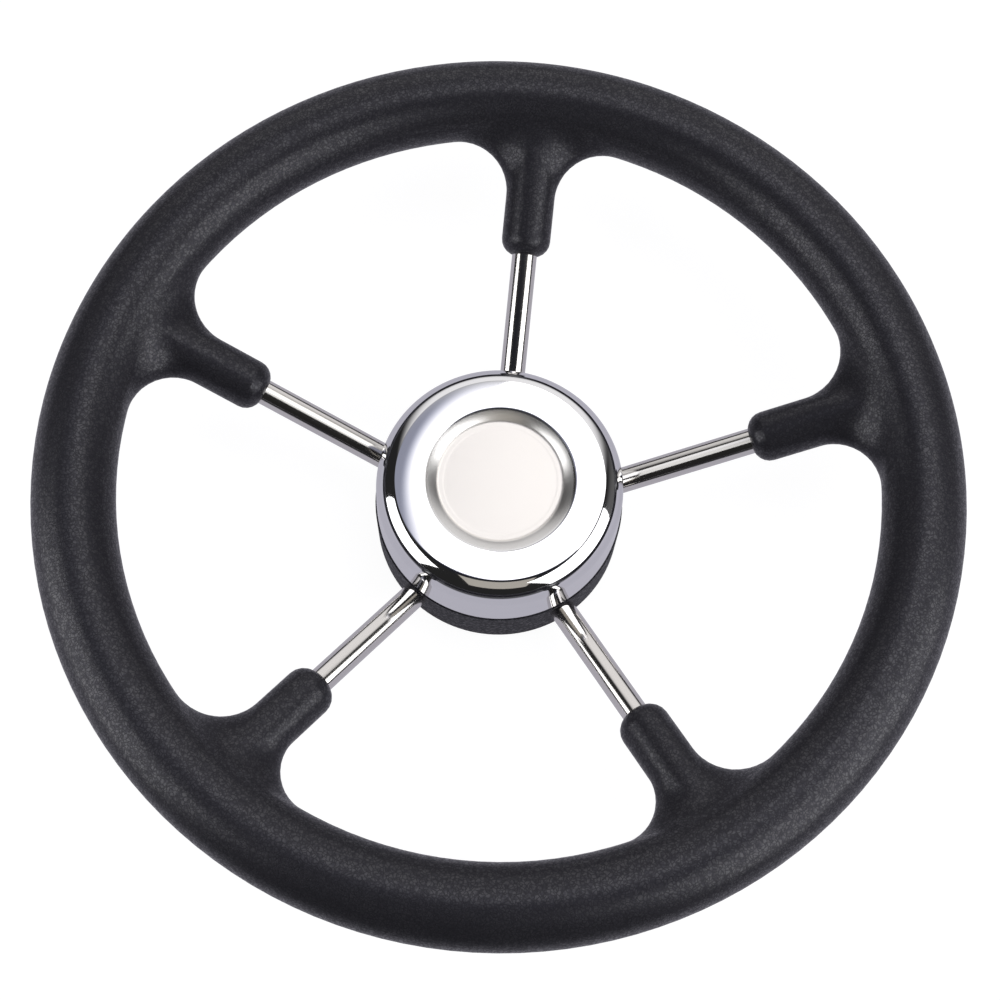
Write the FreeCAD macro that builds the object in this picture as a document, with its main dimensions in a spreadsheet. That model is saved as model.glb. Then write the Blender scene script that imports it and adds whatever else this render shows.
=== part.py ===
# Five-spoke boat steering wheel: stainless rods welded between a taper-bored boss and a steel ring,
# with a moulded foam grip on the ring, a moulded foam base round the boss and a pressed steel cap.
# The wheel's axis is +Z, towards the driver. The origin is the centre of the boss's back face.
# The first spoke runs along +Y and the others follow clockwise, seen by the driver.
import FreeCAD, Part
import math
import os
import Sketcher

doc = FreeCAD.newDocument("SteeringWheel")

# Driving sizes, in millimetres and degrees
sheet = doc.addObject("Spreadsheet::Sheet", "Sizes")
driving_sizes = [
    ("rimDiameter", 343, "outside of the foam grip"),
    ("gripDiameter", 30.5, "section of the foam grip"),
    ("rimHeight", 55.5, "middle plane of the rim above the back of the boss"),
    ("coreDiameter", 10, "rod that the ring inside the grip is bent from"),
    ("spokeCount", 5, "spokes"),
    ("spokeDiameter", 9.8, "spoke rod"),
    ("dishAngle", 18.8, "rise of each spoke from the boss to the rim"),
    ("sleeveDiameter", 19.2, "foam sleeve where a spoke leaves the grip"),
    ("sleeveTipRadius", 98.6, "reach of the sleeves towards the wheel's axis"),
    ("sleeveRounding", 6.5, "rounded end of a sleeve"),
    ("sleeveFlare", 19, "blend between a sleeve and the grip"),
    ("bossDiameter", 42, "boss where the spokes are welded in"),
    ("bossHeight", 22, "height of the boss's full diameter"),
    ("noseDiameter", 31, "boss under the shaft nut"),
    ("noseTaper", 4, "height of the cone between the boss and its nose"),
    ("noseHeight", 30, "nut seat above the back of the boss"),
    ("bossChamfer", 1, "chamfer on the back of the boss"),
    ("boreDiameter", 19.05, "mouth of the tapered bore, for a 3/4 inch shaft"),
    ("boreTaper", 12, "length over which the bore narrows by one"),
    ("keyWidth", 4.8, "keyway, for a 3/16 inch key"),
    ("keyDepth", 2.4, "keyway, into the wall of the bore"),
    ("socketRadius", 15, "bottoms of the spoke sockets from the wheel's axis"),
    ("baseDiameter", 94.9, "moulded base round the boss"),
    ("baseSetback", 1, "back of the moulded base in front of the back of the boss"),
    ("baseTop", 24.5, "shoulder of the base, where the cap stands"),
    ("baseRounding", 1.6, "back edge of the base"),
    ("spigotHeight", 8, "spigot of the base inside the cap"),
    ("spigotWall", 6, "wall of the spigot"),
    ("spigotClearance", 0.5, "between the spigot and the wall of the cap"),
    ("spigotRounding", 0.8, "leading edge of the spigot"),
    ("sealDiameter", 2, "section of the rubber ring that grips the cap"),
    ("sealHeight", 4, "middle of the rubber ring above the shoulder of the base"),
    ("sealClearance", 0.02, "between the rubber ring and what it touches"),
    ("capInset", 0.35, "bottom edge of the cap inside the side of the base"),
    ("capHeight", 26.3, "crease round the cap's face above its bottom edge"),
    ("capDraft", 2.2, "lean of the cap's wall"),
    ("capSheet", 0.9, "sheet that the cap is pressed from"),
    ("capShoulder", 10, "round between the cap's wall and the crease round its face"),
    ("faceDiameter", 78.4, "crease round the cap's face"),
    ("faceCrown", 0.3, "mouth of the recess above the crease round the cap's face"),
    ("faceCurve", 108, "round of the cap's face between its crease and its recess"),
    ("recessDiameter", 56.8, "mouth of the recess in the cap's face"),
    ("recessMouthRounding", 3, "bend at the mouth of the recess"),
    ("recessWallCurve", 19, "round of the wall of the recess"),
    ("recessFloorDiameter", 47.4, "floor of the recess"),
    ("recessFloorRounding", 0.6, "bend at the floor of the recess"),
    ("recessDepth", 2.4, "depth of the recess"),
]
for row, (alias, value, meaning) in enumerate(driving_sizes, start=1):
    sheet.set(f"A{row}", meaning)
    sheet.set(f"B{row}", str(value))
    sheet.setAlias(f"B{row}", alias)
doc.recompute()

# Sizes that follow from the driving ones
ring_radius = "(Sizes.rimDiameter - Sizes.gripDiameter) / 2"
spoke_radius = "Sizes.spokeDiameter / 2"
spoke_reach = f"(({ring_radius}) - Sizes.socketRadius) / cos(Sizes.dishAngle)"
sleeve_radius = "Sizes.sleeveDiameter / 2"
sleeve_reach = f"(({ring_radius}) - Sizes.sleeveTipRadius) / cos(Sizes.dishAngle)"
base_radius = "Sizes.baseDiameter / 2"
cap_radius = f"({base_radius} - Sizes.capInset)"
cap_wall = "Sizes.capSheet / cos(Sizes.capDraft)"
cap_face = "Sizes.baseTop + Sizes.capHeight"
face_radius = "Sizes.faceDiameter / 2"

# The shoulder's arc leaves the cap's wall tangentially and ends at the crease, which lies this far
# inside the line of the wall and this far along it. The rest of the wall is straight.
crease_inset = f"(({cap_radius} - {face_radius}) * cos(Sizes.capDraft) - Sizes.capHeight * sin(Sizes.capDraft))"
crease_along = f"(({cap_radius} - {face_radius}) * sin(Sizes.capDraft) + Sizes.capHeight * cos(Sizes.capDraft))"
wall_length = f"({crease_along} - sqrt({crease_inset} * (2 * Sizes.capShoulder - {crease_inset})))"
wall_top_radius = f"{cap_radius} - {wall_length} * sin(Sizes.capDraft)"
wall_top_height = f"Sizes.baseTop + {wall_length} * cos(Sizes.capDraft)"

seal_radius = "Sizes.sealDiameter / 2"
seal_centre_height = "Sizes.baseTop + Sizes.sealHeight"
cap_bore_at_seal = f"{cap_radius} - Sizes.sealHeight * tan(Sizes.capDraft) - {cap_wall}"
seal_centre_radius = f"{cap_bore_at_seal} - {seal_radius} - Sizes.sealClearance"
groove_radius = f"{seal_centre_radius} - {seal_radius} - Sizes.sealClearance"
groove_half_width = f"({seal_radius} + Sizes.sealClearance)"
spigot_top = "Sizes.baseTop + Sizes.spigotHeight"
cap_bore_at_spigot_top = f"{cap_radius} - Sizes.spigotHeight * tan(Sizes.capDraft) - {cap_wall}"
spigot_radius = f"{cap_bore_at_spigot_top} - Sizes.spigotClearance"
spigot_bore = f"{spigot_radius} - Sizes.spigotWall"


def size(expression):
    """Number that an expression on the sheet comes to."""
    return float(sheet.evalExpression(expression.replace("Sizes.", "")))


def new_body(name):
    body = doc.addObject("PartDesign::Body", name)
    body.Label = name
    return body


def plane_of(body, role):
    return next(feature for feature in body.Origin.OriginFeatures if feature.Role == role)


def sketch_on(body, name, role):
    sketch = body.newObject("Sketcher::SketchObject", name)
    sketch.AttachmentSupport = [(plane_of(body, role), "")]
    sketch.MapMode = "FlatFace"
    return sketch


def upright_sketch(body, name):
    """Sketch whose x is the distance from the wheel's axis, along +Y, and whose y is the height."""
    return sketch_on(body, name, "YZ_Plane")


def spoke_line_sketch(body, name):
    """Sketch whose x axis is the first spoke's axis, outwards, with its origin on the ring."""
    sketch = sketch_on(body, name, "YZ_Plane")
    sketch.setExpression("AttachmentOffset.Base.x", ring_radius)
    sketch.setExpression("AttachmentOffset.Base.y", "Sizes.rimHeight")
    sketch.AttachmentOffset = FreeCAD.Placement(
        FreeCAD.Vector(), FreeCAD.Rotation(FreeCAD.Vector(0, 0, 1), size("Sizes.dishAngle"))
    )
    sketch.setExpression("AttachmentOffset.Rotation.Angle", "Sizes.dishAngle")
    return sketch


def bind(sketch, kind, expression, *places):
    """Constraint of a sketch whose value follows the sheet."""
    number = sketch.addConstraint(Sketcher.Constraint(kind, *places, size(expression)))
    sketch.setExpression(f"Constraints[{number}]", expression)


def draw_outline(sketch, corners, rounds=None):
    """Closed outline through corners, each given by two expressions. Its sides are straight, apart from
    those that rounds gives a radius, which bulge to the right of the way round."""
    rounds = rounds or {}
    points = [FreeCAD.Vector(size(x), size(y), 0) for x, y in corners]
    count = len(points)
    for number in range(count):
        start, end = points[number], points[(number + 1) % count]
        if number in rounds:
            sketch.addGeometry(arc_between(start, end, size(rounds[number])), False)
            bind(sketch, "Radius", rounds[number], number)
        else:
            sketch.addGeometry(Part.LineSegment(start, end), False)
    for number in range(count):
        sketch.addConstraint(Sketcher.Constraint("Coincident", number, 2, (number + 1) % count, 1))
    for number, (x, y) in enumerate(corners):
        if x == "0":
            sketch.addConstraint(Sketcher.Constraint("PointOnObject", number, 1, -2))
        else:
            bind(sketch, "DistanceX", x, -1, 1, number, 1)
        if y == "0":
            sketch.addConstraint(Sketcher.Constraint("PointOnObject", number, 1, -1))
        else:
            bind(sketch, "DistanceY", y, -1, 1, number, 1)


def arc_between(start, end, radius):
    """Arc of less than half a turn from start anticlockwise to end."""
    chord = end - start
    rise = math.sqrt(radius**2 - chord.Length**2 / 4)
    centre = (start + end) / 2 + FreeCAD.Vector(-chord.y, chord.x, 0) * (rise / chord.Length)
    angles = [math.atan2(point.y - centre.y, point.x - centre.x) for point in (start, end)]
    return Part.ArcOfCircle(Part.Circle(centre, FreeCAD.Vector(0, 0, 1), radius), *angles)


def draw_circle(sketch, x, y, radius):
    centre = FreeCAD.Vector(size(x), size(y), 0)
    sketch.addGeometry(Part.Circle(centre, FreeCAD.Vector(0, 0, 1), size(radius)), False)
    bind(sketch, "DistanceX", x, -1, 1, 0, 3)
    bind(sketch, "DistanceY", y, -1, 1, 0, 3)
    bind(sketch, "Radius", radius, 0)


def turn(body, kind, name, sketch, axis):
    """Full turn of a sketch about one of its own axes, added or cut."""
    feature = body.newObject(f"PartDesign::{kind}", name)
    feature.Profile = sketch
    feature.ReferenceAxis = (sketch, [axis])
    feature.Angle = 360
    sketch.Visibility = False
    doc.recompute()
    return feature


def repeat_at_spokes(body, name, feature=None):
    """Copies at every spoke, of one feature or else of the body's whole shape."""
    pattern = body.newObject("PartDesign::PolarPattern", name)
    pattern.TransformMode = "Whole shape" if feature is None else "Features"
    pattern.Originals = [] if feature is None else [feature]
    pattern.Axis = (plane_of(body, "Z_Axis"), [""])
    pattern.Angle = 360
    pattern.setExpression("Occurrences", "Sizes.spokeCount")
    body.Tip = pattern
    doc.recompute()
    return pattern


def round_edges(body, name, base, radius, wanted, kind="Fillet"):
    """Fillet or chamfer of the edges of a feature for which wanted(edge) is true."""
    names = [f"Edge{number}" for number, edge in enumerate(base.Shape.Edges, start=1) if wanted(edge)]
    feature = body.newObject(f"PartDesign::{kind}", name)
    feature.Base = (base, names)
    feature.setExpression("Radius" if kind == "Fillet" else "Size", radius)
    doc.recompute()
    return feature


def middle_of(edge):
    return edge.valueAt((edge.FirstParameter + edge.LastParameter) / 2)


def circle_at(radius, height):
    """Test for a circle round the wheel's axis, of a radius and at a height given by expressions."""

    def wanted(edge):
        middle = middle_of(edge)
        off_radius = abs(math.hypot(middle.x, middle.y) - size(radius))
        off_height = abs(middle.z - size(height))
        return off_radius < 0.01 and off_height < 0.01 and edge.Length > 1

    return wanted


def sleeve_edge(reach=None):
    """Test for an edge round the first spoke's sleeve: at its tip if reach is given, else at the grip."""
    dish = math.radians(size("Sizes.dishAngle"))
    outwards = FreeCAD.Vector(0, math.cos(dish), math.sin(dish))
    end = FreeCAD.Vector(0, size(ring_radius), size("Sizes.rimHeight"))

    def wanted(edge):
        middle = middle_of(edge)
        inwards = (end - middle).dot(outwards)
        off_line = (end - middle - outwards * inwards).Length
        if abs(off_line - size(sleeve_radius)) > 0.01 or inwards <= 0:
            return False
        if reach is not None:
            return abs(inwards - size(reach)) < 0.01
        off_ring = math.hypot(math.hypot(middle.x, middle.y) - end.y, middle.z - end.z)
        return abs(off_ring - size("Sizes.gripDiameter / 2")) < 0.01

    return wanted


# Moulded grip: a ring with a flared sleeve on every spoke, hollow for the steel ring and the spokes
def make_rim_grip():
    body = new_body("rim_grip")
    section = upright_sketch(body, "GripSection")
    draw_circle(section, ring_radius, "Sizes.rimHeight", "Sizes.gripDiameter / 2")
    share_of_turn(turn(body, "Revolution", "GripShare", section, "V_Axis"))

    profile = spoke_line_sketch(body, "SleeveProfile")
    tip = f"-({sleeve_reach})"
    draw_outline(profile, [(tip, "0"), ("0", "0"), ("0", sleeve_radius), (tip, sleeve_radius)])
    sleeve = turn(body, "Revolution", "Sleeve", profile, "H_Axis")
    end = round_edges(body, "SleeveEnd", sleeve, "Sizes.sleeveRounding", sleeve_edge(sleeve_reach))
    round_edges(body, "SleeveFlare", end, "Sizes.sleeveFlare", sleeve_edge())

    channel = upright_sketch(body, "ChannelSection")
    draw_circle(channel, ring_radius, "Sizes.rimHeight", "Sizes.coreDiameter / 2")
    share_of_turn(turn(body, "Groove", "ChannelShare", channel, "V_Axis"))
    cut_for_spoke(body, "GripSpokeHole")
    repeat_at_spokes(body, "WholeGrip")
    return body


def share_of_turn(feature):
    """Narrows a full turn to the share of the wheel that belongs to the first spoke."""
    feature.setExpression("Angle", "360 / Sizes.spokeCount")
    feature.Midplane = True
    doc.recompute()


def cut_for_spoke(body, name):
    """Round hole along the first spoke, as long and as wide as the rod."""
    profile = spoke_line_sketch(body, f"{name}Profile")
    draw_rod(profile)
    return turn(body, "Groove", name, profile, "H_Axis")


def draw_rod(sketch):
    start = f"-({spoke_reach})"
    draw_outline(sketch, [(start, "0"), ("0", "0"), ("0", spoke_radius), (start, spoke_radius)])


# Steel ring inside the grip, bent from rod
def make_rim_ring():
    body = new_body("rim_ring")
    section = sketch_on(body, "RingSection", "XZ_Plane")
    draw_circle(section, ring_radius, "Sizes.rimHeight", "Sizes.coreDiameter / 2")
    turn(body, "Revolution", "Ring", section, "V_Axis")
    return body


# Spoke: a rod, its outer end hollowed to sit on the steel ring
def make_spoke(number):
    body = new_body(f"spoke_{number}")
    profile = spoke_line_sketch(body, f"RodProfile{number}")
    draw_rod(profile)
    turn(body, "Revolution", f"Rod{number}", profile, "H_Axis")
    saddle = sketch_on(body, f"SaddleSection{number}", "XZ_Plane")
    draw_circle(saddle, ring_radius, "Sizes.rimHeight", "Sizes.coreDiameter / 2")
    turn(body, "Groove", f"Saddle{number}", saddle, "V_Axis")
    body.setExpression("Placement.Rotation.Angle", f"-360 / Sizes.spokeCount * {number - 1}")
    return body


# Boss: turned steel with a tapered bore and keyway, a seat for the shaft nut and a socket for every spoke
def make_hub_boss():
    body = new_body("hub_boss")
    profile = upright_sketch(body, "BossProfile")
    boss_radius = "Sizes.bossDiameter / 2"
    nose_radius = "Sizes.noseDiameter / 2"
    bore_mouth = "Sizes.boreDiameter / 2"
    bore_end = f"{bore_mouth} - Sizes.noseHeight / Sizes.boreTaper / 2"
    draw_outline(
        profile,
        [
            (bore_mouth, "0"),
            (boss_radius, "0"),
            (boss_radius, "Sizes.bossHeight"),
            (nose_radius, "Sizes.bossHeight + Sizes.noseTaper"),
            (nose_radius, "Sizes.noseHeight"),
            (bore_end, "Sizes.noseHeight"),
        ],
    )
    turned = turn(body, "Revolution", "Turned", profile, "V_Axis")
    round_edges(body, "BossBackEdge", turned, "Sizes.bossChamfer", circle_at(boss_radius, "0"), "Chamfer")

    # The keyway faces -Y, between two spokes, where the boss is whole
    keyway = sketch_on(body, "KeywayOutline", "XY_Plane")
    half_width = "Sizes.keyWidth / 2"
    key_floor = f"-({bore_mouth} + Sizes.keyDepth)"
    draw_outline(
        keyway,
        [(f"-{half_width}", key_floor), (half_width, key_floor), (half_width, "0"), (f"-{half_width}", "0")],
    )
    slot = body.newObject("PartDesign::Pocket", "Keyway")
    slot.Profile = keyway
    slot.Type = "ThroughAll"
    slot.Reversed = True
    doc.recompute()
    socket = cut_for_spoke(body, "BossSocket")
    repeat_at_spokes(body, "BossSockets", socket)
    return body


# Base: moulded foam round the boss, with a shoulder and a grooved spigot for the cap
def make_hub_base():
    body = new_body("hub_base")
    profile = upright_sketch(body, "BaseProfile")
    boss_radius = "Sizes.bossDiameter / 2"
    draw_outline(
        profile,
        [
            (boss_radius, "Sizes.baseSetback"),
            (base_radius, "Sizes.baseSetback"),
            (base_radius, "Sizes.baseTop"),
            (spigot_radius, "Sizes.baseTop"),
            (spigot_radius, f"{seal_centre_height} - {groove_half_width}"),
            (groove_radius, f"{seal_centre_height} - {groove_half_width}"),
            (groove_radius, f"{seal_centre_height} + {groove_half_width}"),
            (spigot_radius, f"{seal_centre_height} + {groove_half_width}"),
            (spigot_radius, spigot_top),
            (spigot_bore, spigot_top),
            (spigot_bore, "Sizes.bossHeight"),
            (boss_radius, "Sizes.bossHeight"),
        ],
    )
    moulded = turn(body, "Revolution", "Moulded", profile, "V_Axis")
    back = circle_at(base_radius, "Sizes.baseSetback")
    rounded = round_edges(body, "BaseBackEdge", moulded, "Sizes.baseRounding", back)
    lead = circle_at(spigot_radius, spigot_top)
    round_edges(body, "SpigotLead", rounded, "Sizes.spigotRounding", lead)
    hole = cut_for_spoke(body, "BaseSpokeHole")
    repeat_at_spokes(body, "BaseSpokeHoles", hole)
    return body


# Rubber ring in the groove of the spigot, which holds the cap by friction
def make_cap_seal_ring():
    body = new_body("cap_seal_ring")
    section = sketch_on(body, "SealSection", "XZ_Plane")
    draw_circle(section, seal_centre_radius, seal_centre_height, seal_radius)
    turn(body, "Revolution", "Seal", section, "V_Axis")
    return body


# Cap: one sheet pressed to a cup, with a round shoulder, a crowned face and a shallow recess in it
def make_centre_cap():
    body = new_body("centre_cap")
    profile = upright_sketch(body, "CapProfile")
    recess_radius = "Sizes.recessDiameter / 2"
    floor_radius = "Sizes.recessFloorDiameter / 2"
    recess_mouth = f"({cap_face} + Sizes.faceCrown)"
    recess_floor = f"{recess_mouth} - Sizes.recessDepth"
    draw_outline(
        profile,
        [
            ("0", "Sizes.baseTop"),
            (cap_radius, "Sizes.baseTop"),
            (wall_top_radius, wall_top_height),
            (face_radius, cap_face),
            (recess_radius, recess_mouth),
            (floor_radius, recess_floor),
            ("0", recess_floor),
        ],
        rounds={2: "Sizes.capShoulder", 3: "Sizes.faceCurve", 4: "Sizes.recessWallCurve"},
    )
    pressed = turn(body, "Revolution", "Pressed", profile, "V_Axis")
    mouth_edge = circle_at(recess_radius, recess_mouth)
    mouth = round_edges(body, "RecessMouth", pressed, "Sizes.recessMouthRounding", mouth_edge)
    floor_edge = circle_at(floor_radius, recess_floor)
    bends = round_edges(body, "RecessFloor", mouth, "Sizes.recessFloorRounding", floor_edge)

    # The sheet is left when everything inside its thickness is taken out through the open bottom
    faces = bends.Shape.Faces
    bottom = min(range(len(faces)), key=lambda number: faces[number].BoundBox.ZMax)
    hollow = body.newObject("PartDesign::Thickness", "Sheet")
    hollow.Base = (bends, [f"Face{bottom + 1}"])
    hollow.Reversed = True
    hollow.Mode = 0
    hollow.Join = 0
    hollow.setExpression("Value", "Sizes.capSheet")
    doc.recompute()
    return body


bodies = [make_rim_grip(), make_rim_ring()]
for spoke_number in range(1, int(size("Sizes.spokeCount")) + 1):
    bodies.append(make_spoke(spoke_number))
bodies += [make_hub_boss(), make_hub_base(), make_cap_seal_ring(), make_centre_cap()]
doc.recompute()

# Every object has to be sound before anything is written
for item in doc.Objects:
    if "Invalid" in item.State or "Error" in item.State:
        raise RuntimeError(f"{item.Label} has failed: {item.State}")
for body in bodies:
    if body.Shape.isNull() or not body.Shape.isValid():
        raise RuntimeError(f"{body.Label} has no valid shape")
    if len(body.Shape.Solids) != 1:
        raise RuntimeError(f"{body.Label} isn't one solid")

os.makedirs("parts", exist_ok=True)
for body in bodies:
    body.Shape.exportStep(f"parts/{body.Label}.step")
    print(body.Label, round(body.Shape.Volume), "mm3")
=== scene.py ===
import math

import bpy
from mathutils import Matrix, Vector


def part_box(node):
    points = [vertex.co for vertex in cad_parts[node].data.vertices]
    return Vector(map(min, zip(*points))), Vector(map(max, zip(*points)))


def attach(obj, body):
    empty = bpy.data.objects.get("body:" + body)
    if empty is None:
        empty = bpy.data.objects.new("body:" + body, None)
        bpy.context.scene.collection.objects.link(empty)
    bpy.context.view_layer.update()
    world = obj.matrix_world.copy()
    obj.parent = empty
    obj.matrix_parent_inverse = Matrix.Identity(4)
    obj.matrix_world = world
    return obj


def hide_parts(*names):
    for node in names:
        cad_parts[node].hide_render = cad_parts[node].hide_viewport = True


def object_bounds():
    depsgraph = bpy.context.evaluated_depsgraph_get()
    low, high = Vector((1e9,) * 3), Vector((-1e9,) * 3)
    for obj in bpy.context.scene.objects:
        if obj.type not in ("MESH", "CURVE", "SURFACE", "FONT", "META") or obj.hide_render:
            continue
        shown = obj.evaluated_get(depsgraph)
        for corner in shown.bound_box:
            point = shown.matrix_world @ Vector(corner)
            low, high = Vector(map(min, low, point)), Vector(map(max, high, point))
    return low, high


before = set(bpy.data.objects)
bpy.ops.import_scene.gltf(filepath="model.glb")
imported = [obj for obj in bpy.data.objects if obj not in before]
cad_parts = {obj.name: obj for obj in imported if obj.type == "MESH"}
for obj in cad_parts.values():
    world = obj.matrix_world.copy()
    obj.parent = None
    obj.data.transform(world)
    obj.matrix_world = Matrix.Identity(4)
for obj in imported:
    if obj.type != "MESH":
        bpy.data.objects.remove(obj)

mm = 0.001
white = (1, 1, 1, 1)
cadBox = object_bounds()
print("loaded", len(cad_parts), "nodes of the wheel")


# One output socket, so that shader maths reads as plain arithmetic
class Wire:
    def __init__(self, shader, socket):
        self.shader = shader
        self.socket = socket

    def __add__(self, other):
        return self.shader.maths("ADD", self, other)

    def __radd__(self, other):
        return self.shader.maths("ADD", other, self)

    def __sub__(self, other):
        return self.shader.maths("SUBTRACT", self, other)

    def __rsub__(self, other):
        return self.shader.maths("SUBTRACT", other, self)

    def __mul__(self, other):
        return self.shader.maths("MULTIPLY", self, other)

    def __rmul__(self, other):
        return self.shader.maths("MULTIPLY", other, self)

    def __truediv__(self, other):
        return self.shader.maths("DIVIDE", self, other)

    def __pow__(self, other):
        return self.shader.maths("POWER", self, other)

    # 0 at start, 1 at end, and a smooth step between them
    def step(self, start, end):
        inputs = {"Value": self, "From Min": start, "From Max": end}
        return self.shader.add("ShaderNodeMapRange", {"interpolation_type": "SMOOTHSTEP"}, inputs)

    # Another output of the node that this one comes from
    def outlet(self, name):
        return Wire(self.shader, self.socket.node.outputs[name])


# One node tree, with a single way of adding a node to it
class Shader:
    def __init__(self, name, owner=None):
        self.owner = owner or bpy.data.materials.new(name)
        self.owner.use_nodes = True
        self.tree = self.owner.node_tree
        self.tree.nodes.clear()

    # Settings are made first, and then the values or wires of the sockets
    def add(self, kind, settings=None, inputs=None, output=0):
        made = self.tree.nodes.new(kind)
        for name, value in (settings or {}).items():
            setattr(made, name, value)
        for name, value in (inputs or {}).items():
            socket = made.inputs[name]
            if isinstance(value, Wire):
                self.tree.links.new(value.socket, socket)
            else:
                socket.default_value = value
        return Wire(self, made.outputs[output]) if made.outputs else None

    def maths(self, operation, *values):
        return self.add("ShaderNodeMath", {"operation": operation}, dict(enumerate(values)))

    def place(self):
        return self.add("ShaderNodeTexCoord", output="Object")

    def axes(self, vector):
        x = self.add("ShaderNodeSeparateXYZ", {}, {"Vector": vector})
        return x, x.outlet("Y"), x.outlet("Z")

    def vector(self, x, y, z):
        return self.add("ShaderNodeCombineXYZ", {}, {"X": x, "Y": y, "Z": z})

    def noise(self, vector, size, detail=2):
        inputs = {"Vector": vector, "Scale": 1 / size, "Detail": detail}
        return self.add("ShaderNodeTexNoise", {}, inputs)

    def mixColour(self, share, first, second):
        return self.add("ShaderNodeMix", {"data_type": "RGBA"}, {0: share, 6: first, 7: second}, 2)

    def bump(self, height, distance, under=None):
        inputs = {"Height": height, "Distance": distance}
        if under is not None:
            inputs["Normal"] = under
        return self.add("ShaderNodeBump", {}, inputs)

    def surface(self, **sockets):
        inputs = {name.replace("_", " "): value for name, value in sockets.items()}
        return self.add("ShaderNodeBsdfPrincipled", {}, inputs)

    def finish(self, shading, kind="ShaderNodeOutputMaterial"):
        self.add(kind, {}, {"Surface": shading})
        return self.owner


# Faint cloudiness of hand-polished steel
haze = {
    "size": 30 * mm,
    "strength": 0.03,  # what it adds to the roughness
}


def hazed(shader, place, roughness):
    return roughness + shader.noise(place, haze["size"], detail=4) * haze["strength"]


rods = {
    "colour": (0.72, 0.70, 0.68, 1),
    "polish": 0.045,
    "dish": math.radians(18.8),
    "firstTurn": math.radians(90),  # direction of the first spoke, seen by the driver
    "betweenSpokes": math.radians(72),
    "lineWidth": 1.3 * mm,
    "lineStretch": 0.012,
    "lineDepth": 0.006 * mm,
    "lineRoughness": 0.11,
}


# Polished along each rod, which leaves fine lines from the hub to the rim
def rodSteel():
    shader = Shader("rodSteel")
    place = shader.place()
    x, y, z = shader.axes(place)
    ringLow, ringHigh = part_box("rim_ring")
    ringRadius = ringHigh.y - (ringHigh.z - ringLow.z) / 2
    ringHeight = (ringHigh.z + ringLow.z) / 2
    spokes = (shader.maths("ARCTAN2", y, x) - rods["firstTurn"]) * (1 / rods["betweenSpokes"])
    offSpoke = (spokes - shader.maths("ROUND", spokes)) * rods["betweenSpokes"]
    radius = (x * x + y * y) ** 0.5
    along = radius * shader.maths("COSINE", offSpoke)
    across = radius * shader.maths("SINE", offSpoke)
    above = z - ringHeight - (along - ringRadius) * math.tan(rods["dish"])
    stretched = shader.vector(across, above, along * rods["lineStretch"])
    lines = shader.noise(stretched, rods["lineWidth"], detail=4)
    return shader.finish(shader.surface(
        Base_Color=rods["colour"],
        Metallic=1.0,
        Roughness=hazed(shader, place, rods["polish"]) + lines * rods["lineRoughness"],
        Normal=shader.bump(lines, rods["lineDepth"]),
    ))


# Ring and boss, as they come from the bending rolls and the lathe
plainSteel = {
    "colour": (0.56, 0.56, 0.57, 1),
    "metallic": 1.0,
    "roughness": 0.3,
    "spread": 0.15,  # what the grain adds to the roughness
    "grain": 0.4 * mm,
    "detail": 3,
    "depth": 0.01 * mm,
}
sealRubber = {
    "colour": (0.018, 0.018, 0.018, 1),
    "metallic": 0.0,
    "roughness": 0.45,
    "spread": 0.15,
    "grain": 0.6 * mm,
    "detail": 2,
    "depth": 0.01 * mm,
}


def plainFinish(name, look):
    shader = Shader(name)
    grain = shader.noise(shader.place(), look["grain"], look["detail"])
    return shader.finish(shader.surface(
        Base_Color=look["colour"],
        Metallic=look["metallic"],
        Roughness=look["roughness"] + grain * look["spread"],
        Normal=shader.bump(grain, look["depth"]),
    ))


# What the grip and the base share
foam = {
    "colour": (0.0178, 0.0173, 0.0210, 1),
    "fadedColour": (0.0212, 0.0206, 0.0244, 1),
    # painted shade: the creases of the grain take this darker colour
    "creaseShadeColour": (0.0130, 0.0127, 0.0150, 1),
    "cloudSize": 25 * mm,
    "fading": (0.35, 0.65),
    "fineSize": 0.35 * mm,
    "fineDepth": 0.004 * mm,
    "driftSize": 2.2,  # in pebbles, like the next
    "leanSize": 1.3,
    "leanShine": (0.3, 0.65),
    "sheen": 0.15,  # specular level under the gloss
    "sheenTint": (0.74, 0.71, 1.0, 1),
    "leastGloss": 0.3,  # what the creases keep of the gloss
}
gripFoam = {
    "pebble": 1.3 * mm,
    "crease": 0.22,
    "flatten": 1.0,
    "drift": 2.0,
    "depth": 0.035 * mm,
    "tilt": 0.02 * mm,
    "roughness": 0.3,
    "dull": 0.2,  # what the creases add to the roughness
    "gloss": 0.88,
    "glossRoughness": 0.31,
}
baseFoam = {
    "pebble": 2.0 * mm,
    "crease": 0.35,
    "flatten": 1.8,
    "drift": 2.0,
    "depth": 0.2 * mm,
    "tilt": 0.2 * mm,
    "roughness": 0.42,
    "dull": 0.3,
    "gloss": 0.55,
    "glossRoughness": 0.42,
}
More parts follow.
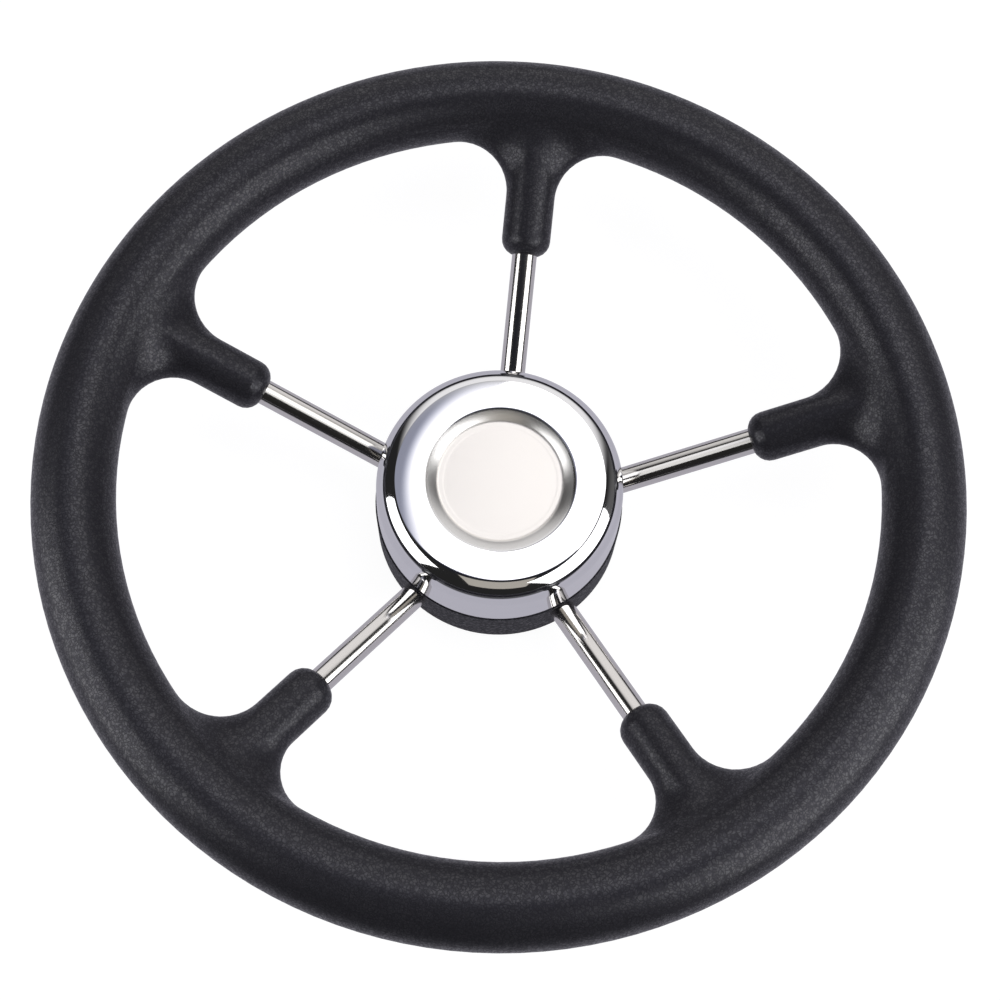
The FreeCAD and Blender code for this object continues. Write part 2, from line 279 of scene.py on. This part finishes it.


# Skin of moulded foam with a leather grain: pebbles that lean a little each, between fine creases that are
# painted darker as shade
def grainedFoam(name, grain):
    shader = Shader(name)
    x, y, z = shader.axes(shader.place())
    place = shader.vector(x, y, z * grain["flatten"])
    pebble = grain["pebble"]
    drift = shader.noise(place, foam["driftSize"] * pebble).outlet("Color")
    shift = [pebble * grain["drift"]] * 3
    bent = shader.add("ShaderNodeVectorMath", {"operation": "MULTIPLY_ADD"}, {0: drift, 1: shift, 2: place})
    inputs = {"Vector": bent, "Scale": 1 / pebble}
    creases = shader.add("ShaderNodeTexVoronoi", {"feature": "DISTANCE_TO_EDGE"}, inputs)
    pebbles = creases.step(0, grain["crease"])
    fine = shader.noise(place, foam["fineSize"], detail=3)
    lean = shader.noise(place, foam["leanSize"] * pebble, detail=1)
    cloud = shader.noise(place, foam["cloudSize"], detail=3)
    skin = shader.bump(fine, foam["fineDepth"])
    leaning = shader.bump(lean, grain["tilt"], skin)
    shiny = pebbles * lean.step(*foam["leanShine"])
    faded = shader.mixColour(cloud.step(*foam["fading"]), foam["colour"], foam["fadedColour"])
    return shader.finish(shader.surface(
        # Painted shade: the creases get a darker base colour than the pebbles
        Base_Color=shader.mixColour(pebbles, foam["creaseShadeColour"], faded),
        Roughness=grain["roughness"] + grain["dull"] * (1 - pebbles),
        Specular_IOR_Level=foam["sheen"],
        Specular_Tint=foam["sheenTint"],
        Coat_Weight=(foam["leastGloss"] + (1 - foam["leastGloss"]) * shiny) * grain["gloss"],
        Coat_Roughness=grain["glossRoughness"],
        Normal=shader.bump(pebbles, grain["depth"], leaning),
    ))


cap = {
    "sheet": 0.9 * mm,
    "shoulder": 10 * mm,
    "draft": math.radians(2.2),
    "creaseRadius": 39.2 * mm,
    "creaseRound": 0.8 * mm,
    "creaseDrop": 0.33 * mm,  # crease below the top of the face
    "faceCurve": 108 * mm,
    "mouthRadius": 28.4 * mm,
    "mouthDrop": 0.03 * mm,  # corner at the mouth of the recess below the top of the face
    "mouthRound": 3.0 * mm,
    "wallCurve": 19 * mm,
    "floorRadius": 23.7 * mm,
    "floorRound": 2.6 * mm,
    "recessDepth": 2.4 * mm,
    "centreRadius": 0.4 * mm,
    "sides": 240,
    "smoothUnder": math.radians(14),
    "colour": (0.80, 0.80, 0.815, 1),
    "wallColour": (0.70, 0.69, 0.68, 1),  # wall of the recess
    "floorColour": (0.79, 0.76, 0.72, 1),
    "floorSoftness": 0.35 * mm,
    "polish": 0.035,
    "wallRoughness": 0.25,  # this and the next are added to the polish
    "floorRoughness": 0.32,
    "waveSize": 60 * mm,
    "waveDepth": 0.012 * mm,
    "turningPitch": 0.35 * mm,
    "turningDepth": 0.004 * mm,
    "ringRadius": 20.9 * mm,  # faint pressed ring on the floor
    "ringWidth": 0.8 * mm,
    "ringDepth": 0.02 * mm,
}
capSteps = {
    "wall": 4, "shoulder": 40, "crease": 5, "face": 24, "mouth": 10, "recess": 14, "corner": 8, "floor": 8,
}


# Mirror polish outside, satin turning marks in the recess
def capSteel():
    shader = Shader("capSteel")
    place = shader.place()
    x, y = shader.axes(place)[:2]
    radius = (x * x + y * y) ** 0.5
    turning = shader.noise(shader.vector(radius, 0, 0), cap["turningPitch"], detail=3)
    wave = shader.noise(place, cap["waveSize"], detail=1)
    soft = cap["floorSoftness"]
    recess = 1 - radius.step(cap["mouthRadius"] - cap["mouthRound"] / 2, cap["mouthRadius"])
    floor = 1 - radius.step(cap["floorRadius"] - soft, cap["floorRadius"] + soft)
    ring = radius.step(cap["ringRadius"], cap["ringRadius"] + cap["ringWidth"])
    colour = shader.mixColour(recess, cap["colour"], cap["wallColour"])
    roughness = hazed(shader, place, cap["polish"]) + recess * cap["wallRoughness"]
    uneven = shader.bump(wave, cap["waveDepth"])
    pressed = shader.bump(ring, cap["ringDepth"], uneven)
    return shader.finish(shader.surface(
        Base_Color=shader.mixColour(floor, colour, cap["floorColour"]),
        Metallic=1.0,
        Roughness=roughness + floor * (cap["floorRoughness"] - cap["wallRoughness"]),
        Normal=shader.bump(turning * recess, cap["turningDepth"], pressed),
    ))


# Line walked in the plane of radius and height, from the cap's bottom edge to its middle
class Walk:
    def __init__(self, start, heading):
        self.points = [Vector(start)]
        self.heading = heading

    def ahead(self, length, steps):
        start = self.points[-1]
        way = Vector((math.cos(self.heading), math.sin(self.heading)))
        self.points += [start + way * length * number / steps for number in range(1, steps + 1)]

    # A positive turn is to the left
    def bend(self, radius, turn, steps):
        side = math.copysign(radius, turn)
        centre = self.points[-1] + side * Vector((-math.sin(self.heading), math.cos(self.heading)))
        for number in range(1, steps + 1):
            angle = self.heading + turn * number / steps
            self.points.append(centre + side * Vector((math.sin(angle), -math.cos(angle))))
        self.heading += turn


# Heading at the start of a left-hand arc between two points, and how far it turns
def arcBetween(start, end, radius):
    chord = end - start
    half = math.asin(chord.length / 2 / radius)
    return math.atan2(chord.y, chord.x) % (2 * math.pi) - half, 2 * half


# Outside of the cap: wall, shoulder, crease, crowned face, wall of the recess and its floor
def capProfile():
    low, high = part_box("centre_cap")
    edge = Vector((high.x, low.z))
    crease = Vector((cap["creaseRadius"], high.z - cap["creaseDrop"]))
    mouth = Vector((cap["mouthRadius"], high.z - cap["mouthDrop"]))
    floor = Vector((cap["floorRadius"], mouth.y - cap["recessDepth"]))

    walk = Walk(edge, math.pi / 2 + cap["draft"])
    up = Vector((-math.sin(cap["draft"]), math.cos(cap["draft"])))
    out = Vector((math.cos(cap["draft"]), math.sin(cap["draft"])))
    inset = (edge - crease).dot(out)
    wallLength = (crease - edge).dot(up) - math.sqrt(inset * (2 * cap["shoulder"] - inset))
    walk.ahead(wallLength, capSteps["wall"])
    walk.bend(cap["shoulder"], math.acos(1 - inset / cap["shoulder"]), capSteps["shoulder"])

    # The rounds at the mouth and the floor take a little off the arcs beside them
    faceHeading, faceTurn = arcBetween(crease, mouth, cap["faceCurve"])
    wallHeading, wallTurn = arcBetween(mouth, floor, cap["wallCurve"])
    mouthTrim = cap["mouthRound"] * math.tan((wallHeading - faceHeading - faceTurn) / 2)
    floorTrim = cap["floorRound"] * math.tan((wallHeading + wallTurn - math.pi) / 2)
    faceTurn -= mouthTrim / cap["faceCurve"]
    wallHeading += mouthTrim / cap["wallCurve"]
    wallTurn -= (mouthTrim + floorTrim) / cap["wallCurve"]
    walk.bend(cap["creaseRound"], faceHeading - walk.heading, capSteps["crease"])
    walk.bend(cap["faceCurve"], faceTurn, capSteps["face"])
    walk.bend(cap["mouthRound"], wallHeading - walk.heading, capSteps["mouth"])
    walk.bend(cap["wallCurve"], wallTurn, capSteps["recess"])
    walk.bend(cap["floorRound"], math.pi - walk.heading, capSteps["corner"])
    walk.ahead(walk.points[-1].x - cap["centreRadius"], capSteps["floor"])
    return walk.points


# Each ring of the profile is extruded from the last and scaled to its radius
def makeCap(material):
    profile = capProfile()
    radius, height = profile[0]
    bpy.ops.object.select_all(action="DESELECT")
    bpy.ops.mesh.primitive_circle_add(vertices=cap["sides"], radius=radius, location=(0, 0, height))
    piece = bpy.context.object
    piece.name = "pressed_cap"
    bpy.ops.object.transform_apply(location=True)
    bpy.ops.object.mode_set(mode="EDIT")
    bpy.ops.mesh.select_all(action="SELECT")
    for nextRadius, nextHeight in profile[1:]:
        rise = (0, 0, nextHeight - height)
        bpy.ops.mesh.extrude_region_move(TRANSFORM_OT_translate={"value": rise})
        scale = nextRadius / radius
        bpy.ops.transform.resize(value=(scale, scale, 1), center_override=(0, 0, nextHeight))
        radius, height = nextRadius, nextHeight
    bpy.ops.mesh.merge(type="CENTER")
    bpy.ops.mesh.select_all(action="SELECT")
    bpy.ops.mesh.normals_make_consistent(inside=False)
    bpy.ops.object.mode_set(mode="OBJECT")
    wall = piece.modifiers.new("wall", "SOLIDIFY")
    wall.thickness = cap["sheet"]
    wall.offset = -1
    wall.use_even_offset = True
    bpy.ops.object.modifier_apply(modifier="wall")
    bpy.ops.object.shade_smooth_by_angle(angle=cap["smoothUnder"])
    piece.data.materials.append(material)
    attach(piece, "root")
    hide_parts("centre_cap")


def dress(nodes, material):
    for name in nodes:
        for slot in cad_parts[name].material_slots:
            slot.link = "OBJECT"
            slot.material = material


dress(["rim_grip"], grainedFoam("gripFoam", gripFoam))
dress(["hub_base"], grainedFoam("baseFoam", baseFoam))
dress([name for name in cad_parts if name.startswith("spoke_")], rodSteel())
dress(["rim_ring", "hub_boss"], plainFinish("plainSteel", plainSteel))
dress(["cap_seal_ring"], plainFinish("sealRubber", sealRubber))
print("nodes dressed")
makeCap(capSteel())
print("cap pressed")


# Softboxes as the middle of the wheel sees them: azimuth 0 is the driver's side, 90 the right.
# A level one hangs flat, and one that lights only some pieces names them.
lamps = {
    "left": {
        "azimuth": -70.3, "elevation": 22.5, "distance": 0.9,
        "width": 0.72, "height": 0.92, "turn": -1, "radiance": 2.5,
    },
    "right": {
        "azimuth": 67, "elevation": 29.6, "distance": 0.9,
        "width": 0.94, "height": 0.886, "turn": -1, "radiance": 2.6,
    },
    "overhead": {
        "azimuth": 138.5, "elevation": 66, "distance": 1.95,
        "width": 1.36, "height": 1.16, "turn": -15, "level": True, "radiance": 1.6,
        "colour": (1.0, 0.985, 0.97),
    },
    "front": {
        "azimuth": 5, "elevation": 51, "distance": 1.3,
        "width": 0.78, "height": 0.66, "radiance": 0.45,
        "colour": (1.0, 0.93, 0.82), "pieces": ["pressed_cap"],
    },
    "leftStrip": {
        "azimuth": -73.5, "elevation": 64, "distance": 1.115,
        "width": 0.3, "height": 1.06, "turn": 19, "level": True, "radiance": 1.0,
        "pieces": ["spoke_2"],
    },
    "rightStrip": {
        "azimuth": 87, "elevation": 69.7, "distance": 1.07,
        "width": 0.3, "height": 0.69, "level": True, "radiance": 1.1,
        "pieces": ["spoke_5"],
    },
}


def direction(azimuth, elevation):
    turn = math.radians(azimuth)
    rise = math.radians(elevation)
    return Vector((math.sin(turn) * math.cos(rise), -math.cos(turn) * math.cos(rise), math.sin(rise)))


def placeLamp(name, lamp, aim):
    away = direction(lamp["azimuth"], lamp["elevation"])
    bpy.ops.object.light_add(type="AREA", location=aim + away * lamp["distance"])
    light = bpy.context.object
    light.name = name
    facing = Vector((0, 0, 1)) if lamp.get("level") else away
    turn = Matrix.Rotation(math.radians(lamp.get("turn", 0)), 3, "Z")
    light.rotation_euler = (facing.to_track_quat("Z", "Y").to_matrix() @ turn).to_euler()
    light.data.shape = "RECTANGLE"
    light.data.size = lamp["width"]
    light.data.size_y = lamp["height"]
    light.data.energy = lamp["radiance"] * math.pi * lamp["width"] * lamp["height"]
    light.data.color = lamp.get("colour", white[:3])
    light.visible_camera = False
    if "pieces" in lamp:
        group = bpy.data.collections.new(name + "Pieces")
        for piece in lamp["pieces"]:
            group.objects.link(bpy.data.objects[piece])
        light.light_linking.receiver_collection = group


ground = {
    "size": 12.0,
    "colour": (0.62, 0.615, 0.66, 1),
    "cameraWhite": 1.2,  # what the camera sees, before the share that shadows fall on
    "cameraShare": 0.78,
    "glossyWhite": 0.59,  # what steel and foam reflect of it near the wheel
    "glossyShare": 0.85,
    "glossyColour": (0.9, 0.88, 1.0, 1),
    # painted shadow: the floor's reflection in steel and foam is darkened in front of the wheel
    "frontFade": (-0.33, -0.19),  # its reflection is dark before the first y and full behind the second
}


def makeFloor():
    shader = Shader("paleFloor")
    rays = shader.add("ShaderNodeLightPath", output="Is Camera Ray")
    y = shader.axes(shader.place())[1]
    # Painted shadow in the floor's reflection: its glow fades out in front of the wheel
    near = y.step(*ground["frontFade"]) * ground["glossyWhite"]
    share = rays * ground["cameraShare"] + rays.outlet("Is Glossy Ray") * ground["glossyShare"]
    colour = shader.mixColour(rays, ground["glossyColour"], white)
    strength = rays * ground["cameraWhite"] + (1 - rays) * near
    lit = shader.add("ShaderNodeBsdfDiffuse", {}, {"Color": ground["colour"]})
    glow = shader.add("ShaderNodeEmission", {}, {"Color": colour, "Strength": strength})
    mixed = shader.add("ShaderNodeMixShader", {}, {0: share, 1: lit, 2: glow})
    bpy.ops.object.select_all(action="DESELECT")
    bpy.ops.mesh.primitive_plane_add(size=ground["size"], location=(0, 0, cadBox[0].z))
    floor = bpy.context.object
    floor.name = "floor"
    floor.data.materials.append(shader.finish(mixed))


# Where the parts of the room begin and where they are full, on a sphere of radius 1 round the wheel:
# x is to the right, y to the back and z up
room = {
    "tint": (1.0, 0.985, 0.985, 1),
    "dark": 0.02,
    "lowBack": 0.95,  # wall behind the wheel, up to about 48 degrees
    "lowBackSide": (0.68, 0.98),
    "lowBackRise": (0, 0.35),
    "highBack": 0.5,  # narrower and greyer above that
    "highBackSide": (0.86, 1.14),
    "highRise": (0.7, 0.8),
    "backLean": 0.2,
    "ceiling": 0.34,
    "ceilingTint": (0.87, 0.9, 1.12, 1),
    "ceilingRise": (0.84, 0.91),
    "ceilingBack": (-0.2, 0.1),
    "glow": 1.25,  # soft left edge of the overhead softbox
    "glowTint": (1.0, 0.985, 0.97, 1),
    "glowSlant": 0.27,
    "glowStart": (-0.265, -0.165),
    "glowEnd": (-0.165, -0.152),
    "glowBack": (0, 0.15),
    "rightSide": 0.1,
    "rightSideEdge": (0.6, 0.9),
    "nearlyOne": 1.0001,  # keeps a root above zero straight overhead
}


# The room is white to the camera. It's dark in front, light low behind the wheel and grey overhead.
def makeWorld():
    world = bpy.data.worlds.new("studio")
    bpy.context.scene.world = world
    shader = Shader("studio", world)
    x, y, z = shader.axes(shader.add("ShaderNodeTexCoord", output="Generated"))
    behind = y / (room["nearlyOne"] - z * z) ** 0.5 + z * room["backLean"]
    high = z.step(*room["highRise"])
    top = z.step(*room["ceilingRise"])
    lowBack = behind.step(*room["lowBackSide"]) * z.step(*room["lowBackRise"]) * room["lowBack"]
    highBack = behind.step(*room["highBackSide"]) * room["highBack"]
    back = lowBack * (1 - high) + highBack * high * (1 - top)
    ceiling = top * y.step(*room["ceilingBack"]) * room["ceiling"]
    side = x.step(*room["rightSideEdge"]) * room["rightSide"]
    edge = x - y * room["glowSlant"]
    strip = edge.step(*room["glowStart"]) * (1 - edge.step(*room["glowEnd"]))
    glow = strip * y.step(*room["glowBack"]) * top
    lit = room["dark"] + back + ceiling + glow * room["glow"] + side
    camera = shader.add("ShaderNodeLightPath", output="Is Camera Ray")
    tint = shader.mixColour(top, room["tint"], room["ceilingTint"])
    glowing = shader.mixColour(glow, tint, room["glowTint"])
    colour = shader.mixColour(camera, glowing, white)
    strength = camera + (1 - camera) * lit
    background = shader.add("ShaderNodeBackground", {}, {"Color": colour, "Strength": strength})
    shader.finish(background, "ShaderNodeOutputWorld")


view = {
    "azimuth": 2.544,
    "elevation": 70.986,
    "distance": 664.46 * mm,
    "centre": (0.0, 0.0, 55.5 * mm),
    "aim": (0.794 * mm, -9.838 * mm, 55.5 * mm),
    "roll": 3.455,
    "lens": 64.95,
    "sensor": 36,
    "nearest": 10 * mm,
}


def makeCamera():
    bpy.ops.object.camera_add()
    camera = bpy.context.object
    place = Vector(view["centre"]) + direction(view["azimuth"], view["elevation"]) * view["distance"]
    away = (place - Vector(view["aim"])).normalized()
    right = Vector((0, 0, 1)).cross(away).normalized()
    up = away.cross(right)
    roll = math.radians(view["roll"])
    axes = (
        right * math.cos(roll) + up * math.sin(roll),
        up * math.cos(roll) - right * math.sin(roll),
        away,
    )
    camera.matrix_world = Matrix.Translation(place) @ Matrix(axes).transposed().to_4x4()
    camera.data.lens = view["lens"]
    camera.data.sensor_width = view["sensor"]
    camera.data.clip_start = view["nearest"]
    bpy.context.scene.camera = camera


for name, lamp in lamps.items():
    placeLamp(name, lamp, Vector(view["centre"]))
makeFloor()
makeWorld()
makeCamera()
bpy.context.scene.view_settings.view_transform = "Standard"
print("studio set up")
